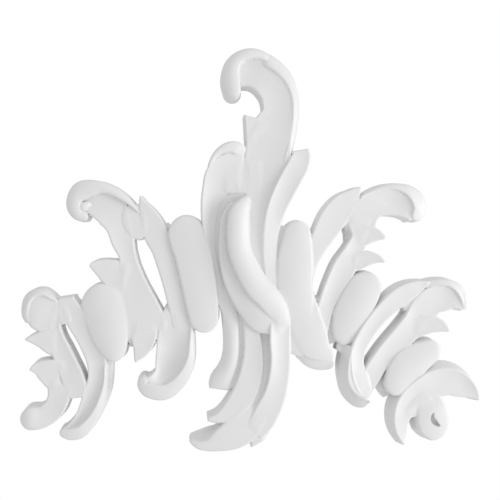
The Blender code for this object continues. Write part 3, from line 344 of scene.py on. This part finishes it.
leaf("right_curl", [(362, 197.5, 2, 24, 24, 24), (375, 190.2, 4, 22, 23.5, 24.5),
                    (388, 186.6, 5.5, 21, 23.5, 24.5), (400, 187.2, 7.5, 20.5, 23.5, 25),
                    (411, 191, 11.5, 20, 23.5, 25), (419, 198.5, 14.5, 20, 23, 25),
                    (421.7, 208.5, 14.5, 20, 23, 24.5), (415.5, 220.5, 10, 21, 22.5, 23.5)],
     "cut round")
leaf("right_leaflet_upper", [(348, 237, 22, 21, 21, 21), (362, 236, 22, 21.5, 21.5, 21.5),
                             (371, 234.8, 17.5, 22.5, 22, 22.5), (378, 235, 13, 23, 22.5, 22.5),
                             (387, 238, 2.5, 23.5, 23.5, 23.5)], "sunk cut")
leaf("right_leaflet_lower", [(345, 262, 22, 21, 21, 21), (361, 260, 18.5, 21.5, 21.5, 21.5),
                             (370, 258.3, 14, 22.5, 22, 22.5), (378, 258.3, 9.5, 23, 22.5, 22.5),
                             (386.5, 261.5, 1.5, 23.5, 23.5, 23.5)], "sunk cut")
leaf("right_big_lobe", [(345, 345, 12, 22, 22.5, 22), (346, 335, 24, 22.5, 24, 22.5),
                        (348.5, 325, 31, 22.5, 25, 23), (352.5, 314, 35, 22.5, 25.5, 23.5),
                        (358, 303, 36, 22, 25.5, 23.5), (364, 292, 35, 21.5, 25, 23.5),
                        (369, 282.5, 31, 21.5, 24, 23), (373, 272.5, 26, 21, 23.5, 22.5)],
     "round round")

# The right end: a pierced spray of a rib, a blade, a leaflet and a lobe.

leaf("spray_floor", [(343.5, 353, 13, 19, 19, 19), (351, 340, 20, 20, 20, 20),
                     (365, 317, 16, 20, 20, 20), (379, 298, 12, 19, 19, 19)], "cut sunk")
leaf("right_end_rib", [(369, 395, 13, 22.5, 22.5, 22.5), (360, 380, 23, 27, 25, 22.5),
                       (356.7, 363, 17.5, 28, 24.5, 22.5), (359.7, 347.5, 15.5, 27, 24, 23),
                       (367.3, 333, 16, 26, 23.5, 23), (377.3, 319.5, 16.5, 25.5, 23, 23),
                       (389, 307, 18, 25, 23, 22.5), (401, 297, 20, 25, 23, 22),
                       (414, 289.5, 17, 25, 23, 22), (424, 284.7, 9, 24.5, 23, 22.5),
                       (431, 282, 2, 24, 24, 24)], "round cut")
leaf("right_end_foot", [(350, 345, 8, 27, 25, 20), (346.5, 362, 12, 28, 22, 12),
                        (348, 380, 14, 28, 20, 9), (354.5, 395.5, 16, 26, 18, 9),
                        (363, 402.5, 15, 23, 17, 9), (372, 403.5, 10, 21, 16, 10)], "cut round")
leaf("right_end_blade", [(362, 398, 13, 22, 22, 22), (373, 375, 19, 23, 21.5, 21.5),
                         (382.5, 360, 19.5, 24, 21, 21), (394.5, 346, 21.5, 24, 21, 21),
                         (406.5, 334, 24, 24, 21, 21), (418, 321, 26, 23.5, 21, 21),
                         (426, 309, 29, 22, 21, 21), (436.5, 299.5, 28, 22.5, 20.5, 21.5),
                         (449, 297, 28, 23, 20.5, 22), (459.5, 300.5, 21, 23, 21.5, 22),
                         (466, 309, 7, 23, 22.5, 22.5)])
leaf("right_end_blade_lip", [(425, 285, 6, 21.5, 22, 22.5), (441, 281.8, 6.5, 21, 23, 24.5),
                             (452, 283, 7.5, 20.5, 23, 24.5), (461, 288.5, 9, 20.5, 22.5, 24.5),
                             (466, 298, 8, 20.5, 22.5, 24), (467, 309.5, 4, 21, 22, 23)])
leaf("right_end_web", [(406, 310, 7, 20.8, 20.8, 20.8), (411, 304.5, 13, 21, 21, 21),
                       (418, 298, 15, 21, 21, 21), (425, 292, 10, 21, 21, 21)], "round cut")
leaf("right_end_leaflet", [(408, 327, 26, 21, 21, 21), (420, 325, 25, 21, 21, 21),
                           (428, 324.3, 20, 22, 21.5, 21.5), (436, 324, 16.5, 22.5, 22, 22),
                           (443, 325.7, 12.5, 23, 22.5, 22.5), (451.5, 330.5, 2, 23.5, 23.5, 23.5)],
     "sunk cut")
leaf("right_end_lobe", [(396, 395, 19, 23, 24, 23), (399.5, 381, 27, 22.5, 24.5, 23),
                        (406, 369.5, 32, 22, 24.5, 23), (415, 361, 33, 21, 24, 23),
                        (425, 354.7, 28, 21, 23.5, 22.5), (433.5, 350.5, 23, 21, 23, 22),
                        (443, 347, 18, 21.5, 22.5, 21.5)], "round round")
leaf("right_end_floor", [(388, 364, 13, 13, 13, 13), (386, 380, 16, 12, 12, 12),
                         (392, 397, 10, 11, 11, 11)])

# The tail: a dished blade and the small volute below it.

leaf("tail_blade", [(405.5, 443.5, 2, 23, 23, 22), (403, 431, 12, 25, 23.5, 22.5),
                    (402.7, 419, 17, 25, 23.5, 22.5), (407, 407, 22, 25, 22.5, 22.5),
                    (415.5, 396.5, 25, 24.5, 22, 22.5), (427, 388, 27, 24.5, 22, 22.5),
                    (440, 382, 28.5, 24, 21.5, 22.5), (453, 381, 28, 24, 21.5, 22),
                    (465, 385.5, 23.5, 24, 21.5, 22.5), (475, 392, 13.5, 24, 22.5, 22.5),
                    (481.5, 399, 2, 23.5, 23.5, 23.5)], draft=BROAD_DRAFT)
leaf("tail_web", [(398, 416, 12, 22.3, 22.3, 22.3), (413, 409, 16, 22.3, 22.3, 22.3),
                  (427, 402, 22, 22.3, 22.3, 22.3), (443, 393, 14, 22.3, 22.3, 22.3)], "sunk sunk")
leaf("volute", [(424, 386, 20, 22, 22, 22), (430, 400, 27, 22.3, 22.5, 22.3),
                (434, 411, 31.5, 22.5, 24.5, 23), (435, 420, 32.5, 23, 25, 23.5),
                (434.5, 430, 27, 23, 24.5, 23.5), (433.5, 439.5, 17, 22.5, 23.5, 22.5)],
     "sunk round", BROAD_DRAFT)


# The carved surface. The leaves run into each other as they would under the carver's gouge: over any point of
# the sheet the highest leaf shows, and where two are nearly level the hollow between them is slightly filled.

BLEND = 2.0
BLEND_EDGE = 5.0
ARRIS_RADIUS = 1.6
ARRIS_DROP = 1.2
NEAR_LEAF = 8.0
EYE_FLOOR = 19.0
EYE_WALL = 1.2
TINY = 1e-12

leaf("eye", [(435, 411.5, 1.5, 20, 20, 20), (434, 416, 4.5, 20, 20, 20), (436, 420.5, 6, 20, 20, 20),
             (441.5, 424.5, 2, 20, 20, 20)])
eye = leaves.pop()


def to_line(points, line):
    """Distance from points to a polyline, the share along it of the nearest place, and their side of it."""
    start = line[:-1]
    step = line[1:] - start
    away = points[:, None, :] - start[None]
    share = np.clip((away * step).sum(axis=2) / np.maximum((step * step).sum(axis=1), TINY), 0.0, 1.0)
    gap = away - share[..., None] * step
    square = (gap * gap).sum(axis=2)
    nearest = square.argmin(axis=1)
    rows = np.arange(len(points))
    turn = step[nearest, 0] * gap[rows, nearest, 1] - step[nearest, 1] * gap[rows, nearest, 0]
    return np.sqrt(square[rows, nearest]), (nearest + share[rows, nearest]) / len(step), np.sign(turn)


def within(points, starts, ends):
    """True inside closed outlines: a level ray to the right crosses an odd number of their segments."""
    crosses = (starts[None, :, 1] > points[:, None, 1]) != (ends[None, :, 1] > points[:, None, 1])
    rise = ends[:, 1] - starts[:, 1]
    rise = np.where(np.abs(rise) < TINY, TINY, rise)
    at = starts[:, 0] + (points[:, None, 1] - starts[:, 1]) / rise * (ends[:, 0] - starts[:, 0])
    return ((points[:, None, 0] < at) & crosses).sum(axis=1) % 2 == 1


def leaf_over(one, points):
    """One leaf's height at points near it, and how far they lie inside its outline and its foot on the back.

    Across the spine the face is a parabola through the left, middle and right heights, with its edge rounded
    by a small parabola. Outside, the wall falls straight to the back at the draft angle.
    """
    closed = np.vstack([one["outline"], one["outline"][:1]])
    edge, _, _ = to_line(points, closed)
    inner = within(points, closed[:-1], closed[1:])
    edge = np.where(inner, edge, -edge)
    off, along, hand = to_line(points, one["spine"])
    steps = np.linspace(0.0, 1.0, len(one["rows"]))
    low, middle, high, left, right = (np.interp(along, steps, column) for column in one["rows"].T)
    side = np.clip(hand * off / np.where(hand > 0.0, right, left), -1.0, 1.0)
    face = middle + (high - low) / 2.0 * side + ((low + high) / 2.0 - middle) * side**2
    face = face - ARRIS_DROP * np.clip(1.0 - edge / ARRIS_RADIUS, 0.0, 1.0) ** 2
    run = np.maximum(face, 1.0) * one["draft"]
    return np.where(edge >= 0.0, face, face * (1.0 + edge / run)), edge, edge + run


def hollowed(points, height):
    """The height with the volute's eye sunk into it: inside the eye's outline the surface falls in a straight
    line to the eye's floor, over the width of the eye's wall."""
    line = np.vstack([eye["outline"], eye["outline"][:1]])
    near = np.flatnonzero(((points > line.min(axis=0)) & (points < line.max(axis=0))).all(axis=1))
    edge, _, _ = to_line(points[near], line)
    edge = np.where(within(points[near], line[:-1], line[1:]), edge, 0.0)
    share = np.clip(edge / EYE_WALL, 0.0, 1.0)
    sunken = height.copy()
    sunken[near] += share * (EYE_FLOOR - height[near])
    return sunken


def carved(points):
    """The height of the carving and how far points lie inside its foot. The highest leaf shows. The hollow
    where two faces cross is filled by a parabola of their gap, which fades out towards either leaf's edge."""
    total = np.zeros(len(points))
    inset = np.zeros(len(points))
    foot = np.full(len(points), -NEAR_LEAF)
    for one in leaves:
        low, high = one["outline"].min(axis=0) - NEAR_LEAF, one["outline"].max(axis=0) + NEAR_LEAF
        near = np.flatnonzero(((points > low) & (points < high)).all(axis=1))
        height, edge, reach = leaf_over(one, points[near])
        so_far = total[near]
        fade = np.clip(np.minimum(edge, inset[near]) / BLEND_EDGE, 0.0, 1.0) ** 2
        fill = fade * np.clip(BLEND - np.abs(so_far - height), 0.0, BLEND) ** 2 / (4.0 * BLEND)
        inset[near] = np.where(height > so_far, edge, inset[near])
        total[near] = np.maximum(so_far, height) + fill
        foot[near] = np.maximum(foot[near], reach)
    return hollowed(points, total), foot


# The casting's mesh. Its foot line is traced on the sheet and every edge that shows is kept as a line of the
# mesh. The sheet is filled with points, fine along those lines and coarse over the open faces, and the flat
# back closes the same foot line, so the piece is one closed skin.

FINE = 0.75
COARSE = 2
EDGE_BAND = 4.0
LINE_STEP = 0.9
SHOWING = 0.8
CREASE_DEGREES = 55.0
LEAST_HEIGHT = 0.02
SAME_POINT = 1e-6
ON_BACK = 1e-9


def zero_line(field, across, down):
    """Points where a field on a grid changes sign, read off each grid step in proportion, and the segments
    that join them cell by cell."""
    inner = field > 0.0
    level = inner[:, :-1] != inner[:, 1:]
    upright = inner[:-1, :] != inner[1:, :]
    level_id = np.full(level.shape, -1)
    level_id[level] = np.arange(level.sum())
    upright_id = np.full(upright.shape, -1)
    upright_id[upright] = level.sum() + np.arange(upright.sum())
    row, column = np.nonzero(level)
    share = field[row, column] / (field[row, column] - field[row, column + 1])
    first = np.column_stack([across[column] + share * (across[1] - across[0]), down[row]])
    row, column = np.nonzero(upright)
    share = field[row, column] / (field[row, column] - field[row + 1, column])
    second = np.column_stack([across[column], down[row] + share * (down[1] - down[0])])
    sides = np.stack([level_id[:-1, :], upright_id[:, 1:], level_id[1:, :], upright_id[:, :-1]], axis=-1)
    sides = sides.reshape(-1, 4)
    met = (sides >= 0).sum(axis=1)
    single = np.sort(sides[met == 2], axis=1)[:, 2:]
    middle = (field[:-1, :-1] + field[1:, :-1] + field[:-1, 1:] + field[1:, 1:]).reshape(-1)
    corner = inner[:-1, :-1].reshape(-1)
    same = (middle > 0.0) == corner
    joined, parted = sides[(met == 4) & same], sides[(met == 4) & ~same]
    pairs = [single, joined[:, [0, 1]], joined[:, [2, 3]], parted[:, [0, 3]], parted[:, [1, 2]]]
    return np.vstack([first, second]), np.vstack(pairs)


def even_line(line, step):
    """A polyline read again at even steps of its own length."""
    run = np.concatenate([[0.0], np.cumsum(np.linalg.norm(np.diff(line, axis=0), axis=1))])
    want = np.linspace(0.0, run[-1], max(2, math.ceil(run[-1] / step)))
    return np.column_stack([np.interp(want, run, line[:, 0]), np.interp(want, run, line[:, 1])])


def showing_edges():
    """The stretches of every leaf's outline that no other leaf buries: points, and segments between them."""
    points, segments, count = [], [], 0
    for one in leaves + [eye]:
        line = even_line(np.vstack([one["outline"], one["outline"][:1]]), LINE_STEP)[:-1]
        own, _, _ = leaf_over(one, line)
        top, _ = carved(line)
        shown = (own > top - SHOWING) | (one is eye)
        both = shown & np.roll(shown, -1)
        order = np.full(len(line), -1)
        keep = shown & (np.roll(shown, 1) | np.roll(shown, -1))
        order[keep] = count + np.arange(keep.sum())
        points.append(line[keep])
        segments.append(np.column_stack([order[both], np.roll(order, -1)[both]]))
        count += keep.sum()
    return np.vstack(points), np.vstack(segments)


def near_lines(shape, start, lines):
    """Which nodes of the fine grid lie within the band of a line's points, as a mask on the grid."""
    mask = np.zeros(shape, bool)
    index = np.round((lines - start) / FINE).astype(int)
    reach = math.ceil(EDGE_BAND / FINE)
    span = np.arange(-reach, reach + 1)
    step_x, step_y = np.meshgrid(span, span)
    disc = step_x**2 + step_y**2 <= (EDGE_BAND / FINE) ** 2
    for dx, dy in zip(step_x[disc], step_y[disc]):
        mask[np.clip(index[:, 1] + dy, 0, shape[0] - 1), np.clip(index[:, 0] + dx, 0, shape[1] - 1)] = True
    return mask


def casting_mesh():
    """Vertices in squares (x, y, height) and triangles of the whole casting: carved front and flat back."""
    low = np.min([one["outline"].min(axis=0) for one in leaves], axis=0) - NEAR_LEAF
    high = np.max([one["outline"].max(axis=0) for one in leaves], axis=0) + NEAR_LEAF
    across, down = np.arange(low[0], high[0], FINE), np.arange(low[1], high[1], FINE)
    grid = np.stack(np.meshgrid(across, down), axis=-1)
    foot = carved(grid.reshape(-1, 2))[1].reshape(grid.shape[:2])
    rim, rim_segments = zero_line(foot, across, down)
    starts, ends = rim[rim_segments[:, 0]], rim[rim_segments[:, 1]]
    edges, edge_segments = showing_edges()
    fine = near_lines(foot.shape, low, np.vstack([edges, rim]))
    rows, columns = np.indices(foot.shape)
    coarse = (rows % COARSE == 0) & (columns % COARSE == 0)
    taken = np.zeros(foot.shape, bool)
    index = np.round((np.vstack([edges, rim]) - low) / FINE).astype(int)
    taken[np.clip(index[:, 1], 0, foot.shape[0] - 1), np.clip(index[:, 0], 0, foot.shape[1] - 1)] = True
    inside_points = grid[(fine | coarse) & ~taken & (foot > FINE / 2.0)]
    flat = np.vstack([rim, edges, inside_points])
    lines = np.vstack([rim_segments, edge_segments + len(rim)])

    verts, _, faces, origins, _, _ = delaunay_2d_cdt([Vector(p) for p in flat], lines.tolist(), [], 0,
                                                     SAME_POINT)
    verts = np.array([v[:] for v in verts])
    faces = np.array(faces)
    on_rim = np.array([any(o < len(rim) for o in made) for made in origins])
    keep = ~on_rim[faces].all(axis=1)
    doubtful = np.flatnonzero(~keep)
    keep[doubtful] = within(verts[faces[doubtful]].mean(axis=1), starts, ends)
    outer = ~on_rim & (carved(verts)[1] < 0.0)
    keep &= ~outer[faces].any(axis=1)
    front = faces[keep]
    height, _ = carved(verts)
    height = np.where(on_rim, 0.0, np.maximum(height, LEAST_HEIGHT))

    place = np.full(len(rim), -1)
    for vertex in np.flatnonzero(on_rim):
        for origin in origins[vertex]:
            if origin < len(rim):
                place[origin] = vertex
    back_verts, _, back, back_origins, _, _ = delaunay_2d_cdt([Vector(p) for p in rim], rim_segments.tolist(),
                                                              [], 0, SAME_POINT)
    back = np.array(back)
    corners = np.array([v[:] for v in back_verts])
    back = back[within(corners[back].mean(axis=1), starts, ends)]
    index = np.array([place[made[0]] for made in back_origins])
    return verts, height, front, index[back]


def set_right(places, triangles, towards):
    """Triangles turned so that their normals point along y the way asked."""
    a, b, c = (places[triangles[:, k]] for k in range(3))
    facing = np.cross(b - a, c - a)[:, 1]
    wrong = facing * towards < 0.0
    turned = triangles.copy()
    turned[wrong] = turned[wrong][:, [0, 2, 1]]
    return turned


flat, height, front, back = casting_mesh()
feet = flat[np.abs(height) < ON_BACK]
sheet_low, sheet_high = feet.min(axis=0), feet.max(axis=0)
box_low, box_high = (np.array(corner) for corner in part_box("onlay"))
squares = np.array([box_high[0] - box_low[0], box_high[2] - box_low[2]]) / (sheet_high - sheet_low)
deep = (box_high[1] - box_low[1]) / height.max()
middle = (sheet_low + sheet_high) / 2.0
places = np.column_stack([(flat[:, 0] - middle[0]) * squares[0] + (box_low[0] + box_high[0]) / 2.0,
                          box_high[1] - height * deep,
                          (middle[1] - flat[:, 1]) * squares[1] + (box_low[2] + box_high[2]) / 2.0])
triangles = np.vstack([set_right(places, front, -1.0), set_right(places, back, 1.0)])

mesh = bpy.data.meshes.new("onlay_casting")
mesh.from_pydata(places, [], triangles)
mesh.validate()
mesh.shade_smooth()
mesh.set_sharp_from_angle(angle=math.radians(CREASE_DEGREES))
casting = bpy.data.objects.new("onlay_casting", mesh)
bpy.context.scene.collection.objects.link(casting)

# The finish: white hard foam under a sprayed factory primer, satin-matt, with a faint cloudiness in its
# colour and gloss and the fine orange peel of the spray.

PRIMER_WHITE = (0.84, 0.84, 0.84, 1.0)
PRIMER_SHADE = (0.81, 0.81, 0.812, 1.0)
PRIMER_ROUGHNESS = 0.42
PEEL_SIZE = 0.0016
PEEL_HEIGHT = 0.00003
CLOUD_SIZE = 0.05
CLOUD_SWING = 0.1


class Socket:
    """A shader value that adds a Math node for each operation written on it."""

    def __init__(self, tree, output):
        self.tree = tree
        self.output = output

    def feed(self, socket, value):
        if isinstance(value, Socket):
            self.tree.links.new(value.output, socket)
        else:
            socket.default_value = value

    def node(self, kind, settings=None, **values):
        made = self.tree.nodes.new(kind)
        for name, value in (settings or {}).items():
            setattr(made, name, value)
        for name, value in values.items():
            self.feed(made.inputs[name], value)
        return made

    def math(self, operation, first, second):
        made = self.node("ShaderNodeMath", {"operation": operation})
        self.feed(made.inputs[0], first)
        self.feed(made.inputs[1], second)
        return Socket(self.tree, made.outputs[0])

    def __add__(self, other):
        return self.math("ADD", self, other)

    def __radd__(self, other):
        return self.math("ADD", other, self)

    def __sub__(self, other):
        return self.math("SUBTRACT", self, other)

    def __rsub__(self, other):
        return self.math("SUBTRACT", other, self)

    def __mul__(self, other):
        return self.math("MULTIPLY", self, other)

    def __rmul__(self, other):
        return self.math("MULTIPLY", other, self)


primer = bpy.data.materials.new("white_primer")
primer.use_nodes = True
tree = primer.node_tree
shader = tree.nodes["Principled BSDF"]
where = Socket(tree, tree.nodes.new("ShaderNodeTexCoord").outputs["Object"])
peel = where.node("ShaderNodeTexNoise", Vector=where, Scale=1.0 / PEEL_SIZE, Detail=2.0, Roughness=0.5)
cloud = where.node("ShaderNodeTexNoise", Vector=where, Scale=1.0 / CLOUD_SIZE, Detail=3.0, Roughness=0.5)
cloud_value = Socket(tree, cloud.outputs["Fac"])
tint = where.node("ShaderNodeMix", {"data_type": "RGBA"}, Factor=cloud_value)
tint.inputs[6].default_value = PRIMER_SHADE
tint.inputs[7].default_value = PRIMER_WHITE
tree.links.new(tint.outputs[2], shader.inputs["Base Color"])
tree.links.new((PRIMER_ROUGHNESS + CLOUD_SWING * (cloud_value - 0.5)).output, shader.inputs["Roughness"])
bump = where.node("ShaderNodeBump", Height=Socket(tree, peel.outputs["Fac"]), Strength=1.0,
                  Distance=PEEL_HEIGHT)
tree.links.new(bump.outputs["Normal"], shader.inputs["Normal"])
casting.data.materials.append(primer)
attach(casting, "root")
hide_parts("onlay")

# The studio: a pale floor well below, an even white surround, a broad soft light from the right, a weak one
# from above, and a camera square on to the onlay.

FLOOR_DROP = 0.75
FLOOR_SIZE = 2.4
FLOOR_WHITE = (0.9, 0.9, 0.9, 1.0)
FLOOR_ROUGHNESS = 0.8
SURROUND_LIGHT = 0.67
KEY_PLACE, KEY_SIZE, KEY_POWER = (1.5, -0.75, -0.05), 0.9, 12.0
TOP_PLACE, TOP_SIZE, TOP_POWER = (0.2, -1.2, 1.5), 0.8, 2.0
CAMERA_SQUARES = 850.0
FRAME_SQUARES = 500.0
SENSOR = 36.0
FACE_SQUARES = 23.0
EYE_LINE = (215.0, 235.0)

corner = FLOOR_SIZE / 2.0
floor_mesh = bpy.data.meshes.new("floor")
floor_mesh.from_pydata([(-corner, -corner, -FLOOR_DROP), (corner, -corner, -FLOOR_DROP),
                        (corner, corner, -FLOOR_DROP), (-corner, corner, -FLOOR_DROP)], [], [(0, 1, 2, 3)])
floor = bpy.data.objects.new("floor", floor_mesh)
bpy.context.scene.collection.objects.link(floor)
floor_paint = bpy.data.materials.new("floor_paint")
floor_paint.use_nodes = True
floor_paint.node_tree.nodes["Principled BSDF"].inputs["Base Color"].default_value = FLOOR_WHITE
floor_paint.node_tree.nodes["Principled BSDF"].inputs["Roughness"].default_value = FLOOR_ROUGHNESS
floor.data.materials.append(floor_paint)

world = bpy.data.worlds.new("studio")
world.use_nodes = True
bpy.context.scene.world = world
sky = Socket(world.node_tree, None)
fill = world.node_tree.nodes["Background"]
fill.inputs["Color"].default_value = (1.0, 1.0, 1.0, 1.0)
fill.inputs["Strength"].default_value = SURROUND_LIGHT
seen = sky.node("ShaderNodeBackground", Color=(1.0, 1.0, 1.0, 1.0), Strength=1.0)
path = sky.node("ShaderNodeLightPath")
chosen = sky.node("ShaderNodeMixShader", Fac=Socket(world.node_tree, path.outputs["Is Camera Ray"]))
world.node_tree.links.new(fill.outputs[0], chosen.inputs[1])
world.node_tree.links.new(seen.outputs[0], chosen.inputs[2])
world.node_tree.links.new(chosen.outputs[0], world.node_tree.nodes["World Output"].inputs["Surface"])


def soft_light(name, place, size, power):
    """A square area light that faces the middle of the onlay."""
    lamp = bpy.data.lights.new(name, "AREA")
    lamp.shape = "SQUARE"
    lamp.size = size
    lamp.energy = power
    made = bpy.data.objects.new(name, lamp)
    made.location = place
    made.rotation_euler = (-Vector(place)).to_track_quat("-Z", "Y").to_euler()
    bpy.context.scene.collection.objects.link(made)


soft_light("key", KEY_PLACE, KEY_SIZE, KEY_POWER)
soft_light("top", TOP_PLACE, TOP_SIZE, TOP_POWER)

to_world = squares.mean()
lens = bpy.data.cameras.new("camera")
lens.sensor_width = SENSOR
lens.lens = SENSOR * CAMERA_SQUARES / FRAME_SQUARES
lens.shift_x = (FRAME_SQUARES / 2.0 - EYE_LINE[0]) / FRAME_SQUARES
lens.shift_y = (EYE_LINE[1] - FRAME_SQUARES / 2.0) / FRAME_SQUARES
camera = bpy.data.objects.new("camera", lens)
camera.location = ((EYE_LINE[0] - middle[0]) * squares[0],
                   box_high[1] - FACE_SQUARES * deep - CAMERA_SQUARES * to_world,
                   (middle[1] - EYE_LINE[1]) * squares[1])
camera.rotation_euler = (math.radians(90.0), 0.0, 0.0)
bpy.context.scene.collection.objects.link(camera)
bpy.context.scene.camera = camera
bpy.context.scene.view_settings.view_transform = "Standard"
